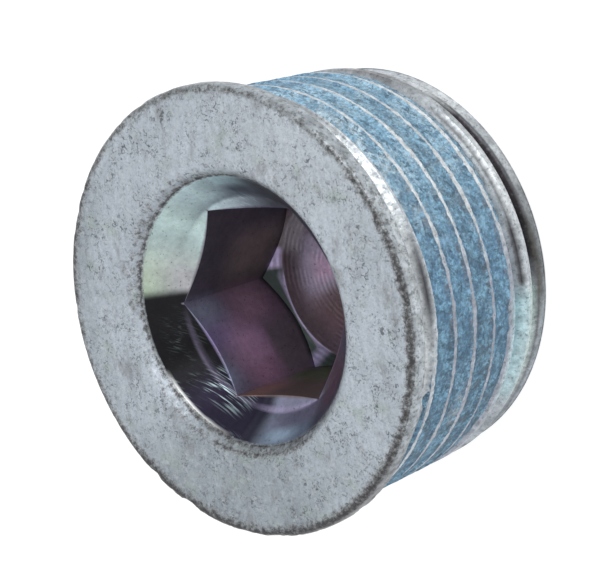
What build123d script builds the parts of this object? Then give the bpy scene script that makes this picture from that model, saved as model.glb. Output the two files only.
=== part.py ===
from build123d import *
from math import atan, cos, degrees, radians, sqrt, tan
import os

# Hexagon-socket pipe plug with a taper thread and a factory-applied thread sealant, in millimetres.
# It stands on its small end: +Z runs along the screw axis to the socket face, and the origin is
# the centre of the end face. A corner of the socket hexagon points along +X.

# ---- overall size ----
length = 15.2               # end face to socket face

# ---- collar at the socket end ----
collar_diameter = 28.8
collar_height = 1.2         # socket face to the collar's lower edge
collar_edge = 0.4           # worn off the outer edge of the face
collar_lower_edge = 0.2

# ---- neck where the thread runs out under the collar, measured down from the socket face ----
neck_diameter = 26.3
neck_top = 1.95
neck_bottom = 2.45
neck_flank = 0.4            # height of the slope up to the first crest

# ---- taper thread, M27 x 2, right hand ----
thread_diameter = 27.0      # over the crests, at the gauge plane
gauge_height = 8.0          # of the gauge plane above the end face
taper = 1 / 16              # on the diameter
pitch = 2.0
flank_angle = 60
crest_flat = 0.5            # left between one turn of the groove and the next
cutter_reach = 0.5          # how far the groove cutter stands out beyond the crests
runout_turns = 0.35         # over which the groove fades out in the neck
runout_angle = 320          # where it has faded out, about the screw axis from +X

# ---- lead-in at the small end ----
end_inset = 0.3             # how far the end stands in from the line of the crests
lead_in_height = 2.3
end_edge = 0.2

# ---- hexagon socket ----
key_across_flats = 12.0
key_clearance = 0.1
mouth_diameter = 18.4
mouth_edge = 0.5
corner_depth = 2.8          # of the six corners of the hexagon below the socket face
scallop_angle = 116         # of the cone that leaves a scallop on each flat
socket_depth = 10.4         # to the ledges in the corners
ledge_angle = 100
pilot_diameter = 11.8
floor_angle = 150

# ---- sealant that fills the groove ----
sealant_top = 2.9           # both ends of the coated band, below the socket face
sealant_bottom = 11.5
sealant_below_crest = 0.12

# ---- values that follow ----
taper_rise = taper / 2
flank_run = tan(radians(flank_angle / 2))
thread_depth = (pitch - crest_flat) / 2 / flank_run
neck_edge = length - neck_bottom - neck_flank
coat_low, coat_high = length - sealant_bottom, length - sealant_top
hexagon_radius = (key_across_flats + key_clearance) / sqrt(3)
pilot_radius = pilot_diameter / 2
end_radius = thread_diameter / 2 - taper_rise * gauge_height - end_inset
scallop_depth = corner_depth + hexagon_radius / tan(radians(scallop_angle / 2))
pilot_depth = socket_depth + (hexagon_radius - pilot_radius) / tan(radians(ledge_angle / 2))
floor_depth = pilot_depth + pilot_radius / tan(radians(floor_angle / 2))


def crest_radius(z):
    return thread_diameter / 2 + taper_rise * (z - gauge_height)


# ---- the groove between the crests, one stretch for each turn and one where it fades into the neck ----
groove_end = length - (neck_top + neck_bottom) / 2
runout_height = runout_turns * pitch
runout_base = groove_end - runout_height
full_turns = int(runout_base / pitch) + 2


def filled_groove(base, height, rise, reach):
    """A stretch of the groove from base upwards, filled up from its root to reach beyond the crests.

    rise is how fast the stretch moves away from the axis.
    """
    cone = atan(rise)
    lead = pitch / cos(cone)
    half = (thread_depth + reach) * flank_run
    root, rim = crest_radius(base) - thread_depth, crest_radius(base) + reach
    curves = [
        Helix(lead, height, radius, center=(0, 0, base + offset), cone_angle=degrees(cone)).edge()
        for radius, offset in ((root, 0), (rim, half), (rim, -half))
    ]
    pairs = list(zip(curves, curves[1:] + curves[:1]))
    flanks = [Face.make_surface_from_curves(one, other) for one, other in pairs]
    ends = [Face(Wire([Edge.make_line(one @ end, other @ end) for one, other in pairs])) for end in (0, 1)]
    return Solid(Shell(flanks + ends)).rotate(Axis.Z, runout_angle + (base - groove_end) / pitch * 360)


def filled_turns(reach):
    """The whole groove, filled up from its root to reach beyond the crests."""
    turns = [filled_groove(runout_base, runout_height, taper_rise + thread_depth / runout_height, reach)]
    for number in range(full_turns):
        turns.append(filled_groove(runout_base - (number + 1) * pitch, pitch, taper_rise, reach))
    return turns


groove_cutters = filled_turns(cutter_reach)
sealant_turns = filled_turns(-sealant_below_crest)

# ---- the hexagon that is pressed in, with its ledges and the pilot hole's conical floor ----
with BuildPart() as hexagon_punch:
    with BuildSketch(Plane.XY.offset(length)):
        RegularPolygon(hexagon_radius, 6)
    extrude(amount=-floor_depth)
    with BuildSketch(Plane.XZ):
        with BuildLine():
            Polyline(
                (0, length),
                (hexagon_radius, length),
                (hexagon_radius, length - socket_depth),
                (pilot_radius, length - pilot_depth),
                (0, length - floor_depth),
                close=True,
            )
        make_face()
    revolve(axis=Axis.Z, mode=Mode.INTERSECT)

# ---- the plug ----
with BuildPart() as plug_body:
    with BuildSketch(Plane.XZ) as outline:
        with BuildLine():
            Polyline(
                (0, 0),
                (end_radius, 0),
                (crest_radius(lead_in_height), lead_in_height),
                (crest_radius(neck_edge), neck_edge),
                (neck_diameter / 2, length - neck_bottom),
                (neck_diameter / 2, length - neck_top),
                (collar_diameter / 2, length - collar_height),
                (collar_diameter / 2, length),
                (mouth_diameter / 2, length),
                (hexagon_radius, length - corner_depth),
                (0, length - scallop_depth),
                close=True,
            )
        make_face()
        broken_edges = (
            (collar_diameter / 2, length, collar_edge),
            (collar_diameter / 2, length - collar_height, collar_lower_edge),
            (mouth_diameter / 2, length, mouth_edge),
            (end_radius, 0, end_edge),
        )
        for radius, height, edge in broken_edges:
            chamfer(outline.vertices().sort_by_distance((radius, height))[0], edge)
    revolve(axis=Axis.Z)
    for stretch in groove_cutters:
        add(stretch, mode=Mode.SUBTRACT)
    add(hexagon_punch.part, mode=Mode.SUBTRACT)
plug_body.part.label = "plug_body"

# ---- the sealant that fills the groove over most of the thread ----
with BuildPart() as thread_sealant:
    for stretch in sealant_turns:
        add(stretch)
    with Locations((0, 0, coat_low)):
        Cone(
            crest_radius(coat_low),
            crest_radius(coat_high),
            coat_high - coat_low,
            align=(Align.CENTER, Align.CENTER, Align.MIN),
            mode=Mode.INTERSECT,
        )
thread_sealant.part.label = "thread_sealant"

os.makedirs("parts", exist_ok=True)
for piece in (plug_body, thread_sealant):
    export_step(piece.part, f"parts/{piece.part.label}.step")
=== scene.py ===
from math import cos, pi, radians, sin, sqrt, tan

import bmesh
import bpy
import numpy as np
from bpy.props import FloatProperty, FloatVectorProperty, PointerProperty
from mathutils import Matrix, Vector, noise


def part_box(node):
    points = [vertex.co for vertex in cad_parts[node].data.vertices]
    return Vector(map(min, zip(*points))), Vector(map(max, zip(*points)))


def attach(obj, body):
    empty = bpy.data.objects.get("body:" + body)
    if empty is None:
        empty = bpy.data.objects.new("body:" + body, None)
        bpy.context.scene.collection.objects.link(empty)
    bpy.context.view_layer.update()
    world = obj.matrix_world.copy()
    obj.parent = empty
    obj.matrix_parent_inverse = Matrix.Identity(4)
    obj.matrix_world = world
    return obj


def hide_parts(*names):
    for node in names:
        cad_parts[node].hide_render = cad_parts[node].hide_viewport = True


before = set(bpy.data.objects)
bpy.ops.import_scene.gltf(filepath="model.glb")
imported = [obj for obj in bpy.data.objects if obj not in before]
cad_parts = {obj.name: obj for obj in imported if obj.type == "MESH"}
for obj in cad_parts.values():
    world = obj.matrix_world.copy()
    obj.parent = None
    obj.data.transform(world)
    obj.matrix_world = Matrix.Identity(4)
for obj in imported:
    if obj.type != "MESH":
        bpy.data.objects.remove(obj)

bl_info = {
    "name": "Hexagon Socket Plug",
    "version": (1, 0, 0),
    "blender": (4, 5, 0),
    "location": "3D View > Sidebar > Plug",
    "description": "Dresses a plated screw plug with a taper thread and dried thread sealant",
    "category": "Add Mesh",
}

# Sizes are in metres. The plug stands on its small end on Z = 0, with its socket face up.
# Places on it are given by clock angle, depth and turn: the clock angle is in degrees, clockwise
# from +Y as seen on the socket face; the depth is below that face; and the turn counts the thread
# downwards from its run-out, with the groove's root at whole numbers and a crest at each half.
MM = 0.001
PLUG, SEALANT = "plug_body", "thread_sealant"
RIM_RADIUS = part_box(PLUG)[1].x
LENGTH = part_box(PLUG)[1].z
COAT_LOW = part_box(SEALANT)[0].z - 0.5 * MM      # the sealant thins out unevenly past its solid
COAT_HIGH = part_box(SEALANT)[1].z + 0.5 * MM

# ---- taper thread ----
PITCH = 2.0 * MM
THREAD_RADIUS = 13.5 * MM       # over the crests, at the gauge height
GAUGE_HEIGHT = 8.0 * MM
TAPER_RISE = 1 / 32
CREST_HALF = 0.25 * MM
FLANK_RISE = 1 / tan(radians(30))
THREAD_DEPTH = (PITCH / 2 - CREST_HALF) * FLANK_RISE
CREST_ROUNDING = 0.05 * MM
ROOT_ROUNDING = 0.08 * MM
RUNOUT_ANGLE = radians(320)     # where the groove has faded out under the collar
RUNOUT_HEIGHT = 0.7 * MM        # over which it fades

# ---- collar and neck, as depths below the socket face ----
COLLAR_HEIGHT = 1.2 * MM
COLLAR_EDGE = 0.42 * MM
COLLAR_LOWER_EDGE = 0.2 * MM
NECK_RADIUS = 13.15 * MM
NECK_TOP, NECK_BOTTOM, NECK_FOOT = 1.95 * MM, 2.45 * MM, 2.85 * MM

# ---- small end ----
END_RADIUS = 12.95 * MM
END_RING = 12.85 * MM           # of the plain ring beside it
END_RING_HEIGHT = 0.95 * MM
LEAD_IN_HEIGHT = 2.3 * MM
END_EDGE = 0.2 * MM

# ---- hexagon socket, as depths below the socket face ----
ACROSS_FLATS = 12.1 * MM
HEX_RADIUS = ACROSS_FLATS / sqrt(3)
MOUTH_RADIUS = 9.2 * MM
MOUTH_EDGE = 0.5 * MM           # of the face and of the cone, taken by the rounding between them
FILM_DEPTH = 0.86 * MM          # where the dull plating of the face gives way to the smooth film
CORNER_DEPTH = 2.8 * MM
SCALLOP_SLOPE = tan(radians(58))
SOCKET_DEPTH = 10.4 * MM
LEDGE_SLOPE = tan(radians(50))
PILOT_RADIUS = 5.9 * MM
FLOOR_SLOPE = tan(radians(75))
DRILL_MARKS = 0.3 * MM          # from one ring that the drill left to the next

TURN = 2 * pi
STEEL_COLUMNS = 408             # around the plug; multiples of 12, so that corners and flats fall on columns
COAT_COLUMNS = 576

# Material zones of the steel, in the order of its slots.
FACE, RIM, SIDE, SOCKET, HEXAGON, FLOOR = range(6)


# ======================================================================================
# Shapes
# ======================================================================================


def clock(angle):
    """The clock angle, from -160 to 200 degrees, of an angle about +Z from +X."""
    return (90 - np.degrees(angle) + 160) % 360 - 160


def around(angle, *stops):
    """A value that changes evenly round the plug between (clock angle, value) stops."""
    return np.interp(clock(angle), [stop[0] for stop in stops], [stop[1] for stop in stops], period=360)


def rough(points, scale, seed=0.0, octaves=3):
    """Fractal noise from -1 to 1 at each point of an array, with features about scale metres across."""
    shift = Vector((seed, seed * 1.7, -seed))
    flat = points.reshape(-1, 3).tolist()
    found = [noise.fractal(Vector(point) / scale + shift, 1.0, 2.0, octaves) for point in flat]
    return np.array(found).reshape(points.shape[:-1])


def crest_radius(z):
    return THREAD_RADIUS + TAPER_RISE * (z - GAUGE_HEIGHT)


def softer(a, b, size):
    """The smaller of two radii, with the corner between them rounded over size."""
    h = np.clip(0.5 + 0.5 * (b - a) / size, 0, 1)
    return b + (a - b) * h - size * h * (1 - h)


def outline_radius(z):
    """The turned outline from the small end up to the collar, before the thread is cut."""
    depth = LENGTH - z
    foot = crest_radius(LENGTH - NECK_FOOT)
    neck = np.interp(
        depth,
        [COLLAR_HEIGHT, NECK_TOP, NECK_BOTTOM, NECK_FOOT],
        [RIM_RADIUS, NECK_RADIUS, NECK_RADIUS, foot],
    )
    lead_in = np.interp(
        z,
        [0, END_RING_HEIGHT, LEAD_IN_HEIGHT, LENGTH],
        [END_RADIUS, END_RING, crest_radius(LEAD_IN_HEIGHT), RIM_RADIUS],
    )
    body = np.minimum(crest_radius(z), lead_in)
    return np.where(depth < NECK_FOOT, neck, body)


GROOVE_END = LENGTH - (NECK_TOP + NECK_BOTTOM) / 2


def groove_radius(z, angle):
    """How far out the thread groove leaves the steel at this height and angle."""
    centre = GROOVE_END + (angle - RUNOUT_ANGLE) / TURN * PITCH
    centre = centre + np.round((z - centre) / PITCH) * PITCH
    fade = np.clip((GROOVE_END - centre) / RUNOUT_HEIGHT, 0, 1)
    away = np.hypot(z - centre, ROOT_ROUNDING)
    groove = crest_radius(z) - THREAD_DEPTH * fade + away * FLANK_RISE
    return np.where(fade > 0, groove, RIM_RADIUS)


def side_radius(z, angle):
    return softer(outline_radius(z), groove_radius(z, angle), CREST_ROUNDING)


def thread_turn(z, angle):
    """Where a point lies across the thread, in turns."""
    along = (90 - clock(angle)) / 360 - RUNOUT_ANGLE / TURN
    return (GROOVE_END - z) / PITCH + along


STEEL_ROWS = np.array([-0.31, -0.25, 0.25, 0.31, 0.45, 0.53, 0.6, 0.68, 0.76, 0.9, 1.0, 1.1, 1.3, 1.5]) * MM
COAT_ROWS = MM * np.array(
    [-0.33, -0.25, -0.12, 0, 0.12, 0.25, 0.33, 0.43, 0.55, 0.7, 0.85, 1.0, 1.15, 1.3, 1.45, 1.57]
)
LINING_ROWS = np.array([-0.25, 0.25, 0.6, 0.95, 1.05, 1.4]) * MM


def arc(centre, size, start, end, steps):
    """Points (radius, height) round an arc, angles in degrees from outwards towards up."""
    turns = np.radians(np.linspace(start, end, steps + 1))
    return [(centre[0] + size * cos(turn), centre[1] + size * sin(turn)) for turn in turns]


def straight(start, end, steps):
    """Points (radius, height) from start to end, without start itself."""
    start, end = np.array(start), np.array(end)
    return [tuple(start + (end - start) * i / steps) for i in range(1, steps + 1)]


class Skin:
    """Rows of points round the plug. Each row has one radius and one height for each column."""

    def __init__(self, columns):
        self.columns = columns
        self.angles = np.arange(columns) * TURN / columns
        self.radii, self.heights, self.zones, self.steps = [], [], [], []

    def row(self, radius, height, zone, step=0):
        """Adds one row. zone is the material of the band between it and the row before."""
        self.radii.append(np.broadcast_to(radius, self.columns).astype(float))
        self.heights.append(np.broadcast_to(height, self.columns).astype(float))
        self.zones.append(zone)
        self.steps.append(step)

    def rings(self, points, zone):
        for radius, height in points:
            self.row(radius, height, zone)

    def helical(self, low, high, zone, radius_at, offsets):
        """Adds rows that follow the thread, at heights above each crest, held between low and high.

        One turn up the thread is len(offsets) rows on, so the seam joins rows that far apart.
        """
        first = GROOVE_END - RUNOUT_ANGLE / TURN * PITCH - PITCH / 2
        start = first - (int((first - low) / PITCH) + 2) * PITCH
        turns = int((high - start) / PITCH) + 2
        for base in (start + np.arange(turns)[:, None] * PITCH + offsets).ravel():
            z = np.clip(base + self.angles / TURN * PITCH, low, high)
            self.row(radius_at(z, self.angles), z, zone, len(offsets))

    def points(self):
        radii, heights = np.array(self.radii), np.array(self.heights)
        return np.stack([radii * np.cos(self.angles), radii * np.sin(self.angles), heights], axis=-1)

    def faces(self):
        """Corners of each face as numbers of points, and the zone of each face."""
        rows = len(self.zones)
        index = np.arange(rows * self.columns).reshape(rows, self.columns)
        faces, zones = [], []
        for low in range(rows - 1):
            step = self.steps[low] if self.steps[low] == self.steps[low + 1] else 0
            for column in range(self.columns):
                after = (column + 1) % self.columns
                up = step if after == 0 else 0
                last = rows - 1
                if up:
                    last = max(row for row in range(rows) if self.steps[row] == step)
                corner, top = min(low + up, last), min(low + 1 + up, last)
                one_side = (index[low, column], index[corner, after])
                faces.append((*one_side, index[top, after], index[low + 1, column]))
                zones.append(self.zones[low + 1])
        return np.array(faces), zones


def new_mesh(name, points, faces, zones, crease_angle):
    """A smooth mesh: welds points that coincide, drops faces with no area and marks the sharp edges."""
    mesh = bpy.data.meshes.new(name)
    mesh.from_pydata(points.reshape(-1, 3).tolist(), [], faces.tolist())
    mesh.polygons.foreach_set("material_index", zones)
    mesh.polygons.foreach_set("use_smooth", [True] * len(faces))
    work = bmesh.new()
    work.from_mesh(mesh)
    bmesh.ops.remove_doubles(work, verts=work.verts, dist=0.5e-6)
    bmesh.ops.dissolve_degenerate(work, edges=work.edges, dist=0.5e-6)
    bmesh.ops.delete(work, geom=[v for v in work.verts if not v.link_faces], context="VERTS")
    for edge in work.edges:
        if len(edge.link_faces) == 2:
            edge.smooth = edge.calc_face_angle(0) < crease_angle
    work.to_mesh(mesh)
    work.free()
    return mesh


def link_piece(name, mesh, node):
    """Puts a mesh in the scene as the piece that stands for a node."""
    piece = bpy.data.objects.new(name, mesh)
    bpy.context.scene.collection.objects.link(piece)
    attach(piece, "root")
    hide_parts(node)
    return piece


# ======================================================================================
# Colours that depend on the place on the plug, painted light and shade among them
# ======================================================================================


def linear(*colour):
    """A colour from 0 to 255 as Blender's own linear values."""
    return tuple((c / 255 / 12.92) if c < 11 else ((c / 255 + 0.055) / 1.055) ** 2.4 for c in colour)


# ---- colours of the plating and the sealant: their own tones, the film's tints and what has settled on them, and painted light: highlights, shade and reflections ----
SILVER = linear(196, 203, 209)
# The next two are painted highlights.
PEARL_HIGHLIGHT = linear(226, 231, 233)
WHITE_HIGHLIGHT = linear(246, 248, 248)
SHADED = linear(150, 158, 165)
# Near black: painted dark reflections in the bare grooves, a painted shadow where the groove runs out at the
# neck, and dark specks in the socket.
SHADOW_REFLECTION_AND_SPECK = linear(46, 40, 44)
# A darker grey, laid over parts of the collar, neck and thread.
DUSKY_GREY = linear(98, 94, 98)
# The colours from here to the lilac paint the socket: painted reflections, tinted by the film.
INK = linear(90, 92, 102)
NAVY = linear(45, 46, 62)
SLATE = linear(124, 138, 160)
SKY = linear(182, 204, 230)
MAUVE = linear(130, 128, 152)
PLUM = linear(102, 84, 98)
VIOLET = linear(40, 36, 54)
UMBER = linear(32, 32, 35)
MINT = linear(166, 184, 164)
SHELL = linear(174, 174, 180)
ICE = linear(192, 214, 214)
CYAN = linear(222, 248, 254)
FOG = linear(190, 216, 226)
LILAC = linear(172, 160, 196)
# These two are painted reflections on bare flanks of the thread.
SEAFOAM = linear(202, 218, 216)
AQUA = linear(184, 210, 217)
DUSTY_BLUE = linear(108, 147, 178)


class Patch:
    """A patch of colour between two clock angles and two levels, with soft edges."""

    def __init__(self, colour, start, end, top, bottom, blur=4.0, fade=0.12, strength=1.0):
        self.colour, self.start, self.end = np.array(colour), start, end
        self.top, self.bottom, self.blur, self.fade, self.strength = top, bottom, blur, fade, strength

    def over(self, colours, clocks, levels):
        """The colours with this patch laid over them. Levels are in the patch's own unit."""
        middle, half = (self.start + self.end) / 2, (self.end - self.start) / 2
        beyond = np.abs((clocks - middle + 180) % 360 - 180) - half
        across = np.clip(0.5 - beyond / self.blur, 0, 1)
        outside = np.maximum(self.top - levels, levels - self.bottom)
        down = np.clip(0.5 - outside / self.fade, 0, 1)
        share = (across * down * self.strength)[:, None]
        return colours * (1 - share) + self.colour * share


# Socket face: clock angles, then radii in millimetres. It is lighter towards the lamp at the upper right,
# which is painted light, and darker from the bottom round to the left, which is partly stain and partly
# painted shade.
FACE_PATCHES = (
    Patch(SHADED, 152, 224, 8, 15, blur=28, fade=1, strength=0.78),
    Patch(SHADED, 170, 310, 12.4, 15, blur=30, fade=1, strength=0.35),
    Patch(PEARL_HIGHLIGHT, 15, 55, 8, 15, blur=50, fade=1, strength=0.16),
    Patch(SHADED, 276, 304, 12.4, 15, blur=16, fade=1, strength=0.5),
)

# Collar's edge: clock angles, then depths in millimetres. The pale patch on the right is a painted
# highlight, and the grey from the bottom round to the top is painted shade.
RIM_PATCHES = (
    Patch(PEARL_HIGHLIGHT, 52, 104, 0.4, 1.3, blur=24, fade=0.2, strength=0.25),
    Patch(DUSKY_GREY, 130, 176, 0, 1.3, blur=20, fade=0.2, strength=0.7),
    Patch(SHADED, 160, 380, 0, 1.3, blur=20, fade=0.2, strength=0.6),
)

# Countersink and scallops: clock angles, then depths in millimetres. Their colours are painted reflections,
# tinted by the film; the white line along the lip and the lilac lines along the crease are painted
# highlights.
SOCKET_PATCHES = (
    Patch(FOG, 346, 373, 0, 1.9, blur=14, fade=0.8),
    Patch(linear(112, 122, 136), 346, 371, 1.9, 5, blur=14, fade=0.8),
    Patch(INK, 374, 400, 0, 5, blur=12, fade=0.1),
    Patch(PLUM, 120, 142, 1.5, 5, blur=12, fade=0.7),
    Patch(linear(80, 82, 96), 120, 152, 0, 1.6, blur=10, fade=0.5),
    Patch(SLATE, 151, 184, 0, 5, blur=9, fade=0.1),
    Patch(MAUVE, 148, 184, 1.7, 5, blur=10, fade=0.7, strength=0.8),
    Patch(SKY, 163, 177, 1.0, 1.7, blur=9, fade=0.5),
    Patch(NAVY, 186, 193, 0, 5, blur=7, fade=0.1),
    Patch(VIOLET, 190, 237, 0, 5, blur=8, fade=0.1),
    Patch(MINT, 266, 300, 0, 5, blur=14, fade=0.9),
    Patch(PEARL_HIGHLIGHT, 284, 300, 0.6, 3, blur=24, fade=1.2, strength=0.35),
    Patch(SHELL, 266, 298, 1.9, 5, blur=20, fade=1.4, strength=0.9),
    Patch(ICE, 300, 331, 0, 5, blur=26, fade=0.1),
    Patch(CYAN, 329, 350, 0, 5, blur=14, fade=0.1),
    Patch(linear(140, 150, 162), 333, 374, 2.5, 5, blur=14, fade=0.5, strength=0.7),
    Patch(INK, 366, 400, 0.9, 5, blur=12, fade=0.4, strength=0.6),
    Patch(UMBER, 235, 262, 0, 5, blur=14, fade=0.1),
    Patch(UMBER, 250, 277, 0, 5, blur=4, fade=0.1),
    Patch(linear(18, 18, 20), 226, 254, 0, 5, blur=16, fade=0.1, strength=0.8),
    Patch(WHITE_HIGHLIGHT, 204, 237, 0.8, 0.9, blur=12, fade=0.1, strength=0.8),
    Patch(LILAC, 148, 192, 2.76, 2.92, blur=10, fade=0.14, strength=0.6),
    Patch(LILAC, 192, 262, 2.78, 2.9, blur=14, fade=0.12, strength=0.2),
)
# Painted glints along the lip and on the film's scratches, as patches of 1 on 0.
GLINTS = (
    Patch((1,), 198, 236, 0.84, 0.98, blur=14, fade=0.16, strength=1.0),
    Patch((1,), 203, 225, 2.1, 3.4, blur=13, fade=0.9, strength=0.9),
    Patch((1,), 346, 376, 1.9, 3.2, blur=14, fade=0.6, strength=0.42),
    Patch((1,), 224, 262, 1.6, 3.0, blur=20, fade=0.8, strength=0.08),
)

# Walls of the hexagon. Their colours are painted reflections, tinted by the film, and are lighter than they
# look, since little light gets down there.
HEXAGON_PATCHES = (
    Patch(linear(104, 102, 124), 330, 388, 2, 11, blur=3, fade=0.1),
    Patch(LILAC, 346, 352, 3.4, 6.2, blur=4, fade=1.2, strength=0.6),
    Patch(linear(104, 98, 112), 270, 330, 2, 11, blur=1, fade=0.1),
    Patch(linear(158, 144, 144), 274, 308, 6.5, 11, blur=16, fade=2.4),
    Patch(linear(156, 160, 186), 252, 270, 2, 5.6, blur=8, fade=1.6),
    Patch(linear(150, 140, 188), 236, 256, 2, 5.6, blur=14, fade=1.4, strength=0.8),
    Patch(linear(160, 168, 200), 210, 232, 2, 4.0, blur=16, fade=1.6, strength=0.9),
    Patch(linear(224, 180, 222), 217, 250, 4.8, 8.0, blur=20, fade=2.2, strength=0.9),
    Patch(linear(196, 150, 184), 206, 226, 5.2, 7.6, blur=16, fade=1.4, strength=0.7),
    Patch(linear(190, 152, 176), 248, 269, 6.6, 10, blur=12, fade=2.0, strength=0.8),
    Patch(linear(138, 126, 138), 210, 246, 8.0, 11, blur=14, fade=0.5, strength=0.9),
    Patch(linear(150, 118, 108), 180, 210, 2, 6.6, blur=2, fade=2.4),
    Patch(linear(116, 100, 96), 150, 196, 2, 8, blur=10, fade=2.4),
    Patch(linear(104, 114, 84), 176, 209, 7.2, 11, blur=6, fade=2.0),
    Patch(linear(120, 96, 120), 150, 172, 6.0, 11, blur=14, fade=2.4, strength=0.6),
    Patch(linear(176, 140, 172), 40, 78, 2, 5.6, blur=12, fade=1.4, strength=0.6),
)
# Floor of the socket and its ledges: clock angles, then radii in millimetres. Painted reflections, with pink
# and lilac highlights and dark patches.
FLOOR_PATCHES = (
    Patch(linear(156, 148, 168), 240, 312, 1.6, 4.6, blur=20, fade=1.0),
    Patch(linear(178, 150, 176), 260, 290, 2.2, 3.6, blur=16, fade=0.8, strength=0.9),
    Patch(linear(98, 80, 84), 200, 250, 1.0, 4.8, blur=20, fade=0.8, strength=0.8),
    Patch(linear(146, 142, 150), 288, 330, 4.8, 6.0, blur=10, fade=0.4, strength=0.8),
    Patch(linear(44, 54, 52), 190, 275, 5.9, 7.2, blur=3, fade=0.06),
    Patch(LILAC, 275, 288, 5.93, 7.2, blur=3, fade=0.06, strength=0.9),
    Patch(LILAC, 208, 272, 5.88, 5.96, blur=6, fade=0.05, strength=0.65),
    Patch(linear(130, 122, 152), 209, 216, 5.9, 7.2, blur=4, fade=0.06, strength=0.9),
)

# Neck: clock angles, then depths in millimetres. The thin pale lines are painted highlights, the grey
# everywhere but on the right is painted shade, and the dark spindle where the groove runs out is a painted
# shadow.
NECK_PATCHES = (
    Patch(SHADED, 104, 402, 1.2, 3.0, blur=34, fade=0.1, strength=0.7),
    Patch(DUSKY_GREY, 128, 200, 1.2, 2.9, blur=24, fade=0.1, strength=0.5),
    Patch(linear(150, 156, 160), 40, 104, 1.2, 1.7, blur=20, fade=0.3, strength=0.3),
    Patch(linear(140, 148, 154), 16, 58, 1.2, 3.0, blur=12, fade=0.1, strength=0.55),
    Patch(PEARL_HIGHLIGHT, 22, 60, 2.54, 2.66, blur=12, fade=0.14, strength=0.5),
    Patch(WHITE_HIGHLIGHT, 44, 80, 1.96, 2.06, blur=20, fade=0.16, strength=0.5),
    Patch(PEARL_HIGHLIGHT, 30, 128, 2.52, 2.66, blur=20, fade=0.14, strength=0.8),
    Patch(DUSKY_GREY, 20, 128, 2.24, 2.36, blur=20, fade=0.2, strength=0.5),
    Patch(WHITE_HIGHLIGHT, 20, 57, 2.8, 2.95, blur=8, fade=0.12, strength=0.4),
    Patch(SHADOW_REFLECTION_AND_SPECK, 74, 96, 2.6, 2.9, blur=14, fade=0.3, strength=0.95),
)

# Bare flanks and crests of the thread: clock angles, then turns. The pale crests towards the lamp are
# painted highlights, and the greyer crests and flanks away from it painted shade; the near-black, aqua and
# sea-foam flanks by the small end are painted reflections.
THREAD_PATCHES = (
    Patch(PEARL_HIGHLIGHT, 26, 76, 0.3, 5.8, blur=20, fade=0.1, strength=0.7),
    Patch(linear(160, 166, 178), 80, 200, 0.3, 4.0, blur=20, fade=0.1, strength=0.9),
    Patch(SHADED, 12, 52, 3.9, 4.8, blur=18, fade=0.1, strength=0.6),
    Patch(DUSKY_GREY, 4, 27, 4.3, 5.2, blur=14, fade=0.2, strength=0.75),
    Patch(SHADOW_REFLECTION_AND_SPECK, 38, 82, 4.27, 4.3, blur=8, fade=0.03, strength=0.9),
    Patch(SHADOW_REFLECTION_AND_SPECK, 76, 97, 4.22, 4.33, blur=7, fade=0.06, strength=0.9),
    Patch(AQUA, 96, 130, 3.6, 4.42, blur=5, fade=0.08),
    Patch(SEAFOAM, 96, 130, 4.42, 5.2, blur=5, fade=0.2),
    Patch(SHADOW_REFLECTION_AND_SPECK, 34, 94, 4.8, 5.31, blur=14, fade=0.07, strength=0.97),
    Patch(SHADOW_REFLECTION_AND_SPECK, 6, 44, 4.8, 5.2, blur=14, fade=0.07, strength=0.85),
    Patch(DUSKY_GREY, 92, 150, 5.21, 5.26, blur=8, fade=0.05, strength=0.9),
    Patch(SHADED, 40, 60, 5.24, 6.2, blur=14, fade=0.05, strength=0.5),
    Patch(linear(126, 130, 134), 62, 104, 5.24, 6.2, blur=14, fade=0.05, strength=0.8),
    Patch(linear(84, 82, 76), 78, 103, 5.2, 5.4, blur=10, fade=0.1, strength=0.7),
    Patch(SHADED, 104, 150, 5.24, 6.2, blur=14, fade=0.05, strength=0.8),
    Patch(SHADED, 130, 362, 3.6, 6.2, blur=14, fade=0.05, strength=0.6),
)

# Sealant: clock angles, then turns. The first patch, lighter towards the lamp at the upper right, and the
# second, darker at the lower right, are painted light and shade.
COAT_PATCHES = (
    Patch(linear(184, 218, 238), 8, 70, -1, 5, blur=26, fade=0.1, strength=0.85),
    Patch(linear(94, 116, 132), 110, 175, -1, 5, blur=40, fade=0.1, strength=0.9),
    Patch(linear(196, 214, 224), 22, 62, -1, 0.4, blur=26, fade=0.1, strength=0.7),
    Patch(linear(88, 104, 114), 20, 150, 1.6, 2.42, blur=50, fade=0.3, strength=0.45),
    Patch(linear(178, 198, 212), 10, 76, 3.62, 4.5, blur=16, fade=0.16, strength=0.85),
    Patch(linear(152, 172, 184), 76, 140, 3.75, 4.5, blur=16, fade=0.16, strength=0.6),
    Patch(SILVER, 117, 129, 0.94, 1.4, blur=5, fade=0.18, strength=0.55),
)
# A darker line beside each crest on the right: painted shadow of the crest, with grime.
CREST_SHADOW_AND_GRIME = Patch(linear(106, 106, 112), 58, 108, 0.27, 0.42, blur=26, fade=0.1, strength=0.75)


def place_of(points):
    """Angle about the axis, radius and depth in millimetres, and turn of each point."""
    angle = np.arctan2(points[:, 1], points[:, 0])
    radius = np.hypot(points[:, 0], points[:, 1])
    depth = LENGTH - points[:, 2]
    return angle, radius / MM, depth / MM, thread_turn(points[:, 2], angle)


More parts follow.
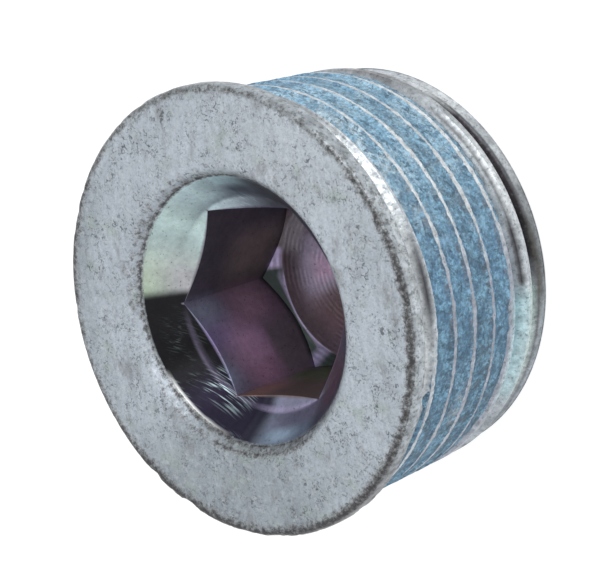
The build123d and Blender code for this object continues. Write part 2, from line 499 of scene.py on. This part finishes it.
def steel_colours(points, zones):
    """The colour of the plating at each point, from the zone that it is in and where it lies: its own tones
    and tints, with painted highlights, shade and reflections.
    """
    angle, radius, depth, turn = place_of(points)
    clocks = clock(angle)
    colours = np.tile(SILVER, (len(points), 1))
    bases = {
        FACE: linear(179, 187, 196),
        RIM: linear(166, 174, 180),
        # The socket's bases, like its patches, are painted reflections tinted by the film.
        SOCKET: INK,
        HEXAGON: linear(136, 116, 140),
        FLOOR: linear(84, 74, 80),
    }
    for zone, base in bases.items():
        colours[zones == zone] = base
    layers = (
        (FACE, radius, FACE_PATCHES),
        (RIM, depth, RIM_PATCHES),
        (SOCKET, depth, SOCKET_PATCHES),
        (HEXAGON, depth, HEXAGON_PATCHES),
        (FLOOR, radius, FLOOR_PATCHES),
        (SIDE, depth, NECK_PATCHES),
        (SIDE, turn, THREAD_PATCHES),
    )
    for zone, levels, patches in layers:
        chosen = zones == zone
        for patch in patches:
            colours[chosen] = patch.over(colours[chosen], clocks[chosen], levels[chosen])
    return colours


def coat_colours(points):
    """The colour of the sealant at each point, with painted light and shade."""
    angle, _, _, turn = place_of(points)
    clocks = clock(angle)
    colours = np.tile(DUSTY_BLUE, (len(points), 1))
    for patch in COAT_PATCHES:
        colours = patch.over(colours, clocks, turn)
    return CREST_SHADOW_AND_GRIME.over(colours, clocks, turn % 1)


def set_attribute(mesh, name, kind, values):
    """Writes one value or colour per point. values has a row for each point of the mesh."""
    made = mesh.attributes.new(name, kind, "POINT")
    if kind == "FLOAT_COLOR":
        made.data.foreach_set("color", np.column_stack([values, np.ones(len(values))]).ravel())
    else:
        made.data.foreach_set("value", values.ravel())


def mesh_points(mesh):
    points = np.empty(len(mesh.vertices) * 3)
    mesh.vertices.foreach_get("co", points)
    return points.reshape(-1, 3)


def point_zones(mesh):
    """The material zone of each point; where zones meet, the later zone."""
    zones = np.zeros(len(mesh.vertices), int)
    for face in mesh.polygons:
        for vertex in face.vertices:
            zones[vertex] = max(zones[vertex], face.material_index)
    return zones


# ======================================================================================
# Materials
# ======================================================================================


class Surface:
    """A material whose nodes are added by short calls.

    A call's value may be a number, a colour or an output.
    """

    def __init__(self, name, roughness, metallic):
        self.material = bpy.data.materials.new(name)
        self.material.use_nodes = True
        self.tree = self.material.node_tree
        self.shader = self.tree.nodes["Principled BSDF"]
        self.shader.inputs["Roughness"].default_value = roughness
        self.shader.inputs["Metallic"].default_value = metallic
        self.place = self.add("ShaderNodeTexCoord").outputs["Object"]

    def feed(self, socket, value):
        if isinstance(value, bpy.types.NodeSocket):
            self.tree.links.new(value, socket)
        elif hasattr(value, "__len__") and len(value) == 3 and len(socket.default_value) == 4:
            socket.default_value = (*value, 1)
        else:
            socket.default_value = value

    def add(self, kind, *inputs, **settings):
        """A node with its first inputs fed in order and its properties set by name."""
        node = self.tree.nodes.new(kind)
        for key, value in settings.items():
            setattr(node, key, value)
        for socket, value in zip(node.inputs, inputs):
            if value is not None:
                self.feed(socket, value)
        return node

    def math(self, operation, *values):
        return self.add("ShaderNodeMath", *values, operation=operation).outputs[0]

    def stretched(self, scale):
        """The object's coordinates, stretched by a factor on each axis."""
        return self.add("ShaderNodeMapping", self.place, None, None, scale).outputs[0]

    def noise(self, size, detail=4, roughness=0.6, place=None, distortion=0.0):
        """Noise from 0 to 1 with features about size metres across."""
        node = self.add("ShaderNodeTexNoise")
        self.feed(node.inputs["Vector"], place or self.place)
        for name, value in (("Scale", 1 / size), ("Detail", detail), ("Roughness", roughness)):
            node.inputs[name].default_value = value
        node.inputs["Distortion"].default_value = distortion
        return node.outputs["Fac"]

    def ramp(self, value, low, high, bottom=0.0, top=1.0):
        """Maps low..high to bottom..top, held at both ends."""
        return self.add("ShaderNodeMapRange", value, low, high, bottom, top, clamp=True).outputs[0]

    def blend(self, factor, one, other, mode="MIX"):
        """one where factor is 0, other where it is 1."""
        node = self.add("ShaderNodeMix", data_type="RGBA", blend_type=mode)
        self.feed(node.inputs[0], factor)
        self.feed(node.inputs[6], one)
        self.feed(node.inputs[7], other)
        return node.outputs[2]

    def shade(self, colour, value, low, high, dark, light):
        """Darkens or lightens a colour by a factor from dark to light as value goes from low to high."""
        return self.blend(1.0, colour, self.ramp(value, low, high, dark, light), "MULTIPLY")

    def attribute(self, name):
        return self.add("ShaderNodeAttribute", attribute_name=name).outputs

    def bump(self, height, strength, distance, over=None):
        node = self.add("ShaderNodeBump")
        node.inputs["Strength"].default_value = strength
        node.inputs["Distance"].default_value = distance
        self.feed(node.inputs["Height"], height)
        if over is not None:
            self.feed(node.inputs["Normal"], over)
        return node.outputs[0]

    def finish(self, colour, roughness=None, normal=None):
        self.feed(self.shader.inputs["Base Color"], colour)
        if roughness is not None:
            self.feed(self.shader.inputs["Roughness"], roughness)
        if normal is not None:
            self.feed(self.shader.inputs["Normal"], normal)
        return self.material


def dirtied_and_shaded(s, colour, settings):
    """A colour with dirt and dark wear over it, and painted shade down the mouth's rounding, which break up
    where the wear and painted light attribute is low.
    """
    ragged = s.ramp(s.noise(0.36 * MM, 5, 0.8), 0.34, 0.66, -0.6, 0.6)
    wear = s.math("ADD", s.attribute("wear")["Fac"], ragged)
    colour = s.blend(s.ramp(wear, 0.24, 0.8, 0, 0.7), colour, settings.dirt_and_shade)
    # The worn colour also lies down the mouth's rounding, where it is painted shade.
    return s.blend(s.ramp(wear, 0.6, 1.2, 0, 0.85), colour, settings.worn)


def plated_face(settings):
    """Dull zinc plating: clouds of fine worm-like pits, streaks, and dirt along its edges, with painted
    shade down the mouth's rounding; its colours also hold painted light and shade.
    """
    s = Surface("plated_face", 0.5, 1.0)
    colour = s.shade(s.attribute("film")["Color"], s.noise(3.4 * MM, 5), 0.34, 0.68, 1.07, 0.92)
    green = s.ramp(s.noise(2.2 * MM, 3, place=s.stretched((1, 1.3, 1))), 0.54, 0.7, 0, 0.5)
    colour = s.blend(green, colour, settings.zinc_green)
    streaks = s.noise(0.34 * MM, 3, 0.7, s.stretched((1, 0.14, 1)))
    colour = s.shade(colour, streaks, 0.35, 0.65, 1.06, 0.94)
    pale = s.ramp(s.noise(0.5 * MM, 4, 0.7), 0.54, 0.66, 0, 0.4)
    colour = s.blend(pale, colour, settings.zinc_pale)
    colour = s.shade(colour, s.noise(0.14 * MM, 2, 0.7), 0.35, 0.65, 1.08, 0.92)
    smudge = s.ramp(s.noise(1.2 * MM, 5, 0.7, s.stretched((1, 0.5, 1))), 0.55, 0.68, 0, 0.45)
    colour = s.blend(smudge, colour, settings.dirt_and_shade)
    clouds = s.ramp(s.noise(1.7 * MM, 4), 0.42, 0.6, 0.2, 1)
    worms = s.ramp(s.noise(0.26 * MM, 3, 0.65, distortion=1.2), 0.53, 0.62)
    colour = s.blend(s.math("MULTIPLY", s.math("MULTIPLY", worms, clouds), 0.8), colour, settings.speck)
    colour = dirtied_and_shaded(s, colour, settings)
    grain = s.bump(s.noise(0.16 * MM, 4, 0.7), 0.5, 0.02 * MM)
    normal = s.bump(s.noise(1.1 * MM, 3), 0.4, 0.08 * MM, grain)
    return s.finish(colour, s.ramp(s.noise(0.4 * MM, 3), 0.3, 0.7, 0.42, 0.6), normal)


def plated_rim(settings):
    """The collar's edge: brighter zinc, knocked and pitted; its colours hold a painted highlight and painted
    shade.
    """
    s = Surface("plated_rim", 0.35, 1.0)
    colour = s.shade(s.attribute("film")["Color"], s.noise(0.8 * MM, 5), 0.38, 0.62, 1.2, 0.72)
    pits = s.ramp(s.noise(0.28 * MM, 3, 0.7), 0.52, 0.62, 0, 0.65)
    colour = s.blend(pits, colour, settings.speck)
    colour = dirtied_and_shaded(s, colour, settings)
    normal = s.bump(s.noise(0.5 * MM, 4), 0.5, 0.06 * MM)
    return s.finish(colour, s.ramp(s.noise(0.3 * MM, 3), 0.3, 0.7, 0.28, 0.5), normal)


def bright_side(settings):
    """Bright zinc on the neck, the crests and the bare turns of the thread; its colours hold painted
    highlights, shade and reflections.
    """
    s = Surface("bright_side", 0.3, 1.0)
    colour = s.shade(s.attribute("film")["Color"], s.noise(0.7 * MM, 5), 0.36, 0.64, 1.1, 0.76)
    colour = s.shade(colour, s.noise(0.3 * MM, 3, 0.7), 0.36, 0.64, 1.12, 0.82)
    specks = s.ramp(s.noise(0.24 * MM, 3, 0.7), 0.56, 0.66, 0, 0.6)
    colour = s.blend(specks, colour, settings.speck)
    normal = s.bump(s.noise(0.4 * MM, 4), 0.35, 0.03 * MM)
    return s.finish(colour, s.ramp(s.noise(0.3 * MM, 3), 0.3, 0.7, 0.24, 0.45), normal)


def socket_film_and_reflections(name, roughness, metallic, gloss, marks=0.0):
    """Smooth plating inside the socket: painted reflections tinted by its thin clear film, and painted
    glints along fine scratches.

    gloss is how much of the light the film itself throws back, and marks how strong the marks of the
    drill are.
    """
    s = Surface(name, roughness, metallic)
    s.shader.inputs["Specular IOR Level"].default_value = gloss
    colour = s.shade(s.attribute("film")["Color"], s.noise(1.3 * MM, 4), 0.34, 0.68, 1.08, 0.9)
    colour = s.shade(colour, s.noise(0.35 * MM, 3, 0.7), 0.36, 0.64, 1.08, 0.9)
    if marks:
        scale = pi / 10 / DRILL_MARKS
        rings = s.add("ShaderNodeTexWave", s.place, scale, 2.5, 3, wave_type="RINGS", rings_direction="Z")
        ringed = s.shade(colour, rings.outputs["Fac"], 0.2, 0.9, 1 - marks, 1 + 2 * marks)
        colour = s.blend(s.ramp(s.noise(1.5 * MM, 2), 0.42, 0.58), colour, ringed)
    specks = s.ramp(s.noise(0.2 * MM, 2, 0.7), 0.64, 0.7, 0, 0.5)
    colour = s.blend(specks, colour, SHADOW_REFLECTION_AND_SPECK)
    # Painted glints: fine bright streaks where the wear and painted light attribute holds glints.
    turned = s.add(
        "ShaderNodeMapping", s.place, (0, 0, 0), (0, 0, radians(59)), (1, 50, 8), vector_type="TEXTURE"
    )
    fine = s.ramp(s.noise(0.055 * MM, 2, 0.6, turned.outputs[0]), 0.52, 0.65)
    glint = s.math("MULTIPLY", s.attribute("wear")["Fac"], fine)
    broken = s.ramp(s.noise(1.8 * MM, 2, 0.6), 0.4, 0.58)
    colour = s.blend(s.math("MULTIPLY", glint, broken), colour, CYAN)
    normal = s.bump(s.noise(0.5 * MM, 3), 0.2, 0.03 * MM)
    return s.finish(colour, None, normal)


def sealant_paint(settings):
    """Dried sealant: grainy, mottled and dull, with pale grains and deeper coloured pools."""
    s = Surface("sealant_paint", 0.7, 0.0)
    colour = s.shade(s.attribute("film")["Color"], s.noise(1.7 * MM, 4), 0.36, 0.64, 1.2, 0.84)
    deep = s.ramp(s.noise(1.1 * MM, 5, 0.75), 0.48, 0.56, 0, 0.75)
    colour = s.blend(deep, colour, settings.sealant_deep)
    pale = s.ramp(s.noise(0.8 * MM, 5, 0.8), 0.48, 0.57, 0, 0.7)
    colour = s.blend(pale, colour, settings.sealant_pale)
    colour = s.shade(colour, s.noise(0.26 * MM, 3, 0.8), 0.4, 0.6, 1.34, 0.74)
    dark = s.ramp(s.noise(0.6 * MM, 5, 0.85, distortion=0.6), 0.53, 0.6, 0, 0.85)
    colour = s.blend(dark, colour, settings.sealant_dark)
    grain = s.bump(s.noise(0.13 * MM, 3, 0.7), 0.7, 0.03 * MM)
    normal = s.bump(s.noise(0.35 * MM, 4, 0.7), 0.7, 0.08 * MM, grain)
    return s.finish(colour, s.ramp(s.noise(0.5 * MM, 3), 0.3, 0.7, 0.55, 0.8), normal)


# ======================================================================================
# Settings
# ======================================================================================


def colour_setting(name, default):
    purpose = f"Colour of the {name.lower()}"
    return FloatVectorProperty(
        name=name, description=purpose, subtype="COLOR", min=0, max=1, default=default
    )


def size_setting(name, description, default):
    return FloatProperty(
        name=name, description=description, default=default, min=0, unit="LENGTH", precision=5
    )


class PlugSettings(bpy.types.PropertyGroup):
    """Sizes and colours of the wear, painted shade and finishes that the user may change."""

    rim_wear: size_setting("Rim wear", "Depth of the knocks round the collar", 0.12 * MM)
    coat_gap: size_setting("Sealant gap", "How far the sealant lies below the crests", 0.1 * MM)
    crest_bare: size_setting("Bare crest", "Width of the bare strip along each crest", 0.34 * MM)
    coat_lumps: size_setting("Sealant lumps", "Height of the unevenness of the sealant", 0.06 * MM)
    zinc_green: colour_setting("Greenish zinc", linear(160, 174, 168))
    zinc_pale: colour_setting("Pale zinc", linear(198, 204, 208))
    # Also laid round the mouth, where it is painted shade.
    dirt_and_shade: colour_setting("Dirt beside the edges", linear(116, 115, 114))
    speck: colour_setting("Specks", linear(86, 92, 95))
    # Also laid down the mouth's rounding, where it is painted shade.
    worn: colour_setting("Worn edge", linear(60, 59, 62))
    sealant_pale: colour_setting("Pale sealant grains", linear(148, 196, 224))
    sealant_deep: colour_setting("Deep sealant", linear(96, 136, 166))
    sealant_dark: colour_setting("Dark sealant specks", linear(74, 100, 118))


class StageSettings(bpy.types.PropertyGroup):
    """The camera and lamps."""

    distance: FloatProperty(
        name="Camera distance", description="From the plug", default=160.04 * MM, unit="LENGTH"
    )
    lens: FloatProperty(name="Lens", description="Focal length in millimetres", default=146.58, min=1)
    key_power: FloatProperty(
        name="Key lamp", description="Power of the main lamp in watts", default=0.5, min=0
    )


# ======================================================================================
# Pieces
# ======================================================================================


def hexagon_radius(angle):
    """How far out the wall of the socket hexagon is, corners at 0, 60, ... degrees."""
    return ACROSS_FLATS / 2 / np.cos((angle % (TURN / 6)) - TURN / 12)


def steel_skin():
    """All the rows of the steel, from the middle of the small end to the middle of the socket floor."""
    skin = Skin(STEEL_COLUMNS)
    skin.rings([(0, 0)] + straight((0, 0), (END_RADIUS - END_EDGE, 0), 3), SIDE)
    skin.rings(arc((END_RADIUS - END_EDGE, END_EDGE), END_EDGE, -90, 0, 4)[1:], SIDE)
    foot = LENGTH - NECK_FOOT
    skin.helical(END_EDGE, foot, SIDE, side_radius, STEEL_ROWS)
    lower = (RIM_RADIUS - COLLAR_LOWER_EDGE, LENGTH - COLLAR_HEIGHT + COLLAR_LOWER_EDGE)
    for z in np.linspace(foot, LENGTH - COLLAR_HEIGHT, 20):
        radius = np.minimum(side_radius(z, skin.angles), lower[0])
        skin.row(radius, z, SIDE)
    skin.rings(arc(lower, COLLAR_LOWER_EDGE, -60, 0, 4), RIM)
    upper = (RIM_RADIUS - COLLAR_EDGE, LENGTH - COLLAR_EDGE)
    skin.rings(straight((RIM_RADIUS, lower[1]), (RIM_RADIUS, upper[1]), 5), RIM)
    skin.rings(arc(upper, COLLAR_EDGE, 0, 90, 8)[1:], RIM)
    inner = MOUTH_RADIUS + MOUTH_EDGE
    skin.rings(straight((upper[0], LENGTH), (upper[0] - 1.0 * MM, LENGTH), 8), FACE)
    skin.rings(straight((upper[0] - 1.0 * MM, LENGTH), (inner + 0.3 * MM, LENGTH), 5), FACE)
    skin.row(inner, LENGTH, FACE)

    lean = atan_degrees((MOUTH_RADIUS - HEX_RADIUS) / CORNER_DEPTH)
    size = MOUTH_EDGE / tan(radians(90 - lean) / 2)
    lip = arc((inner, LENGTH - size), size, 90, 180 - lean, 8)
    skin.rings(lip[1:], FACE)
    film = (MOUTH_RADIUS - FILM_DEPTH * tan(radians(lean)), LENGTH - FILM_DEPTH)
    floor = (HEX_RADIUS, LENGTH - CORNER_DEPTH)
    skin.rings(straight(lip[-1], film, 3), FACE)
    skin.rings(straight(film, floor, 12), SOCKET)
    wall = hexagon_radius(skin.angles)
    crease = floor[1] - (HEX_RADIUS - wall) / SCALLOP_SLOPE
    for share in np.linspace(0.2, 1, 5):
        skin.row(HEX_RADIUS + (wall - HEX_RADIUS) * share, floor[1] + (crease - floor[1]) * share, SOCKET)
    ledge = LENGTH - SOCKET_DEPTH - (HEX_RADIUS - wall) / LEDGE_SLOPE
    for share in np.linspace(1 / 16, 1, 16):
        skin.row(wall, crease + (ledge - crease) * share, HEXAGON)
    pilot = LENGTH - SOCKET_DEPTH - (HEX_RADIUS - PILOT_RADIUS) / LEDGE_SLOPE
    for share in (0.3, 0.6, 0.95, 1):
        skin.row(wall + (PILOT_RADIUS - wall) * share, ledge + (pilot - ledge) * share, FLOOR)
    centre = (0, pilot - PILOT_RADIUS / FLOOR_SLOPE)
    edge = (PILOT_RADIUS - 0.07 * MM, pilot - 0.07 * MM / FLOOR_SLOPE)
    skin.rings([edge] + straight(edge, centre, 14), FLOOR)
    return skin


def atan_degrees(slope):
    return float(np.degrees(np.arctan(slope)))


def knock_rim(points, depth):
    """Wears the collar's outer edge unevenly inwards and down, nowhere outwards."""
    radius = np.linalg.norm(points[..., :2], axis=-1)
    near = np.clip(1 - (RIM_RADIUS - radius) / (0.9 * MM), 0, 1) * (points[..., 2] > LENGTH - COLLAR_HEIGHT)
    angle = np.arctan2(points[..., 1], points[..., 0])
    worn = around(
        angle, (-140, 1.0), (-100, 0.5), (-60, 0.6), (0, 0.3), (60, 0.3), (120, 0.5), (180, 0.7), (205, 1.0)
    )
    chips = np.clip(rough(points, 1.3 * MM, 5.0), 0, 1)
    chips += 0.35 * np.clip(rough(points, 0.45 * MM, 9.0, 2), 0, 1)
    scale = 1 - near * worn * chips * depth * 1.6 / np.maximum(radius, MM)
    points[..., :2] *= scale[..., None]
    edge = np.clip((points[..., 2] - (LENGTH - COLLAR_EDGE)) / COLLAR_EDGE, 0, 1)
    points[..., 2] -= near * edge * worn * chips * depth * 0.5
    return points


def edge_wear_and_mouth_shade(points):
    """From 0 to 1, how worn and dirty the steel is beside the edges of the socket face; round the mouth it
    also paints shade on the rounding.
    """
    angle, radius, depth, _ = place_of(points)
    outer = around(
        angle, (0, 0.62), (20, 0.5), (40, 0.55), (60, 0.8), (100, 1.0), (120, 0.8), (140, 0.95), (160, 1.0),
        (200, 1.15), (225, 1.2), (245, 0.8), (262, 0.7), (290, 0.95), (320, 0.7), (340, 0.62),
    )
    reach = around(
        angle, (20, 0.35), (60, 0.42), (100, 0.46), (140, 0.5), (180, 0.62), (215, 0.85), (250, 0.5),
        (290, 0.65), (330, 0.45),
    )
    from_edge = np.abs(radius - (RIM_RADIUS - COLLAR_EDGE * 0.6) / MM)
    wear = 1.2 * outer * np.clip(1 - from_edge / (reach + 0.14), 0, 1)
    wear = np.where(depth > 0.24, 0.35 * wear, wear)
    # Darker round the mouth's rounded lip: dirt, with painted shade.
    lip = around(
        angle, (140, 0.2), (150, 0.9), (195, 0.9), (215, 0.5), (250, 0.3), (275, 0.5), (330, 0.5), (345, 0.2)
    )
    wear = np.maximum(wear, lip * np.clip(1 - np.abs(radius - 9.08) / 0.34, 0, 1))
    # Darker still down the mouth's rounding towards the film: painted shade.
    return np.maximum(wear, 0.9 * np.clip((depth - 0.4) / 0.3, 0, 1) * (radius < 9.2))


def glints(points, zones):
    """From 0 to 1, how bright the glints and scratches on the countersink's film are."""
    angle, _, depth, _ = place_of(points)
    none = np.zeros((len(points), 1))
    found = none
    for patch in GLINTS:
        found = np.maximum(found, patch.over(none, clock(angle), depth))
    return found[:, 0] * (zones == SOCKET)


class MESH_OT_plated_plug(bpy.types.Operator):
    """Build the plated steel plug with its collar, thread and hexagon socket"""

    bl_idname = "mesh.plated_plug"
    bl_label = "Plated Plug"

    def execute(self, context):
        settings = context.scene.plug
        skin = steel_skin()
        faces, zones = skin.faces()
        knocked = knock_rim(skin.points(), settings.rim_wear)
        mesh = new_mesh("plated_plug", knocked, faces, zones, radians(32))
        points = mesh_points(mesh)
        zones = point_zones(mesh)
        # Wear and dirt on the face, collar and side, with painted shade round the mouth; painted glints in
        # the socket.
        wear = np.where(zones < SOCKET, edge_wear_and_mouth_shade(points), glints(points, zones))
        set_attribute(mesh, "wear", "FLOAT", wear)
        # These colours hold the plating's own tones and the film's tints, and painted highlights, shade and
        # reflections.
        set_attribute(mesh, "film", "FLOAT_COLOR", steel_colours(points, zones))
        link_piece("plated_plug", mesh, PLUG)
        materials = (
            plated_face(settings),
            plated_rim(settings),
            bright_side(settings),
            socket_film_and_reflections("socket_film_and_reflections", 0.3, 0.7, 0.2),
            socket_film_and_reflections("hexagon_film_and_reflections", 0.38, 0.6, 0.5),
            socket_film_and_reflections("floor_film_and_reflections", 0.38, 0.6, 0.5, marks=0.15),
        )
        for material in materials:
            mesh.materials.append(material)
        return {"FINISHED"}


def coated(z, angle, points):
    """From 0, bare steel, to 1, fully filled: the sealant's upper and lower ends, ragged and soft."""
    depth = (LENGTH - z) / MM
    top = around(angle, (-160, 2.75), (-60, 3.1), (30, 3.1), (98, 3.05), (112, 2.6), (140, 2.5), (190, 2.6))
    bottom = around(
        angle, (-160, 11.5), (0, 11.95), (60, 11.95), (78, 11.5), (98, 11.05), (140, 11.0), (190, 11.3)
    )
    ragged = 0.12 * rough(points, 0.9 * MM, 7.0)
    return np.clip((depth - top + ragged) / 0.25, 0, 1) * np.clip((bottom - depth + ragged) / 0.5, 0, 1)


class MESH_OT_sealant_coat(bpy.types.Operator):
    """Lay the dried sealant into the thread"""

    bl_idname = "mesh.sealant_coat"
    bl_label = "Sealant Coat"

    def execute(self, context):
        settings = context.scene.plug
        lining, coat = Skin(COAT_COLUMNS), Skin(COAT_COLUMNS)

        def lining_radius(z, angle):
            return side_radius(z, angle) - 0.12 * MM

        lining.helical(COAT_LOW, COAT_HIGH, 0, lining_radius, LINING_ROWS)
        coat.row(lining_radius(COAT_LOW, coat.angles), COAT_LOW, 0)
        coat.helical(COAT_LOW, COAT_HIGH, 0, side_radius, COAT_ROWS)
        coat.row(lining_radius(COAT_HIGH, coat.angles), COAT_HIGH, 0)

        points = coat.points()
        radii, heights = np.array(coat.radii), np.array(coat.heights)
        angles = np.broadcast_to(coat.angles, heights.shape)
        lumps = settings.coat_lumps * rough(points, 0.55 * MM, 3.0)
        fill = outline_radius(heights) - settings.coat_gap + lumps
        smear = 0.02 * MM * (rough(points, 0.35 * MM, 11.0) + rough(points, 2.5 * MM, 13.0, 2))
        from_crest = np.abs(thread_turn(heights, angles) % 1 - 0.5) * PITCH
        smear += 0.25 * (from_crest - settings.crest_bare / 2)
        share = coated(heights, angles, points)
        bare = radii - 0.06 * MM
        outer = bare + share * (np.maximum(fill, radii + smear) - bare)
        outer[0], outer[-1] = radii[0], radii[-1]
        points[..., :2] *= (outer / radii)[..., None]

        faces, zones = coat.faces()
        inner_faces, inner_zones = lining.faces()
        offset = points.shape[0] * points.shape[1]
        faces = np.concatenate([faces, inner_faces[:, ::-1] + offset])
        points = np.concatenate([points.reshape(-1, 3), lining.points().reshape(-1, 3)])
        mesh = new_mesh("sealant_coat", points, faces, zones + inner_zones, radians(70))
        # The sealant's colours include painted light and shade.
        set_attribute(mesh, "film", "FLOAT_COLOR", coat_colours(mesh_points(mesh)))
        link_piece("sealant_coat", mesh, SEALANT)
        mesh.materials.append(sealant_paint(settings))
        return {"FINISHED"}


# ======================================================================================
# Stage
# ======================================================================================


def white_to_eye(tree, strength):
    """A strength for what is seen straight, in gloss and through glass, and 0 for all other light."""
    path = tree.nodes.new("ShaderNodeLightPath")
    total = path.outputs["Is Camera Ray"]
    for name in ("Is Glossy Ray", "Is Transmission Ray"):
        add = tree.nodes.new("ShaderNodeMath")
        add.operation, add.use_clamp = "ADD", True
        tree.links.new(total, add.inputs[0])
        tree.links.new(path.outputs[name], add.inputs[1])
        total = add.outputs[0]
    scale = tree.nodes.new("ShaderNodeMath")
    scale.operation = "MULTIPLY"
    tree.links.new(total, scale.inputs[0])
    scale.inputs[1].default_value = strength
    return scale.outputs[0]


def lamp(name, direction, distance, size, power, target):
    """A square area lamp that shines from a direction towards a target."""
    data = bpy.data.lights.new(name, "AREA")
    data.energy, data.size = power, size
    made = bpy.data.objects.new(name, data)
    bpy.context.scene.collection.objects.link(made)
    away = Vector(direction).normalized()
    made.location = target + away * distance
    made.rotation_mode = "QUATERNION"
    made.rotation_quaternion = away.to_track_quat("Z", "Y")
    return made


class SCENE_OT_plug_stage(bpy.types.Operator):
    """Set up the floor, the soft light and the camera"""

    bl_idname = "scene.plug_stage"
    bl_label = "Plug Stage"

    def execute(self, context):
        scene, settings = context.scene, context.scene.plug_stage
        middle = Vector((-0.27, -0.16, 7.89)) * MM
        azimuth, elevation, roll = radians(103.77), radians(46.05), radians(-108.80)

        mesh = bpy.data.meshes.new("floor")
        corners = [(-2.0, -2.0, 0), (2.0, -2.0, 0), (2.0, 2.0, 0), (-2.0, 2.0, 0)]
        mesh.from_pydata(corners, [], [(0, 1, 2, 3)])
        floor = bpy.data.objects.new("floor", mesh)
        scene.collection.objects.link(floor)
        paint = Surface("floor_white", 0.9, 0.0)
        paint.finish((0.35, 0.35, 0.35))
        paint.shader.inputs["Specular IOR Level"].default_value = 0.0
        paint.feed(paint.shader.inputs["Emission Color"], (1, 1, 1))
        paint.feed(paint.shader.inputs["Emission Strength"], white_to_eye(paint.tree, 0.8))
        mesh.materials.append(paint.material)

        world = bpy.data.worlds.new("studio")
        world.use_nodes = True
        scene.world = world
        tree = world.node_tree
        background = tree.nodes["Background"]
        background.inputs["Color"].default_value = (1, 1, 1, 1)
        lift = tree.nodes.new("ShaderNodeMath")
        lift.operation = "ADD"
        tree.links.new(white_to_eye(tree, 0.1), lift.inputs[0])
        lift.inputs[1].default_value = 0.9
        tree.links.new(lift.outputs[0], background.inputs["Strength"])

        back = Vector((sin(azimuth) * cos(elevation), -cos(azimuth) * cos(elevation), sin(elevation)))
        data = bpy.data.cameras.new("camera")
        data.sensor_width, data.lens = 36, settings.lens
        data.clip_start, data.clip_end = 0.01, 10
        camera = bpy.data.objects.new("camera", data)
        scene.collection.objects.link(camera)
        camera.location = middle + back * settings.distance
        camera.rotation_mode = "QUATERNION"
        turned = Matrix.Rotation(roll, 3, "Z").to_quaternion()
        camera.rotation_quaternion = back.to_track_quat("Z", "Y") @ turned
        scene.camera = camera

        lamp("key", (0.5, 0.85, 0.8), 0.5, 0.3, settings.key_power, middle)
        scene.view_settings.view_transform = "Standard"
        return {"FINISHED"}


class VIEW3D_PT_plug(bpy.types.Panel):
    """Lists the pieces and settings of the plug"""

    bl_label = "Plug"
    bl_space_type = "VIEW_3D"
    bl_region_type = "UI"
    bl_category = "Plug"

    def draw(self, context):
        layout = self.layout
        for settings in (context.scene.plug, context.scene.plug_stage):
            for name in settings.__annotations__:
                layout.prop(settings, name)
        for operator in OPERATORS:
            layout.operator(operator.bl_idname)


OPERATORS = (MESH_OT_plated_plug, MESH_OT_sealant_coat, SCENE_OT_plug_stage)
CLASSES = (PlugSettings, StageSettings, *OPERATORS, VIEW3D_PT_plug)


def register():
    for each in CLASSES:
        bpy.utils.register_class(each)
    bpy.types.Scene.plug = PointerProperty(type=PlugSettings)
    bpy.types.Scene.plug_stage = PointerProperty(type=StageSettings)


def unregister():
    del bpy.types.Scene.plug_stage
    del bpy.types.Scene.plug
    for each in reversed(CLASSES):
        bpy.utils.unregister_class(each)


def main():
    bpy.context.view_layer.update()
    register()
    bpy.ops.mesh.plated_plug()
    bpy.ops.mesh.sealant_coat()
    bpy.ops.scene.plug_stage()


if __name__ == "__main__":
    main()
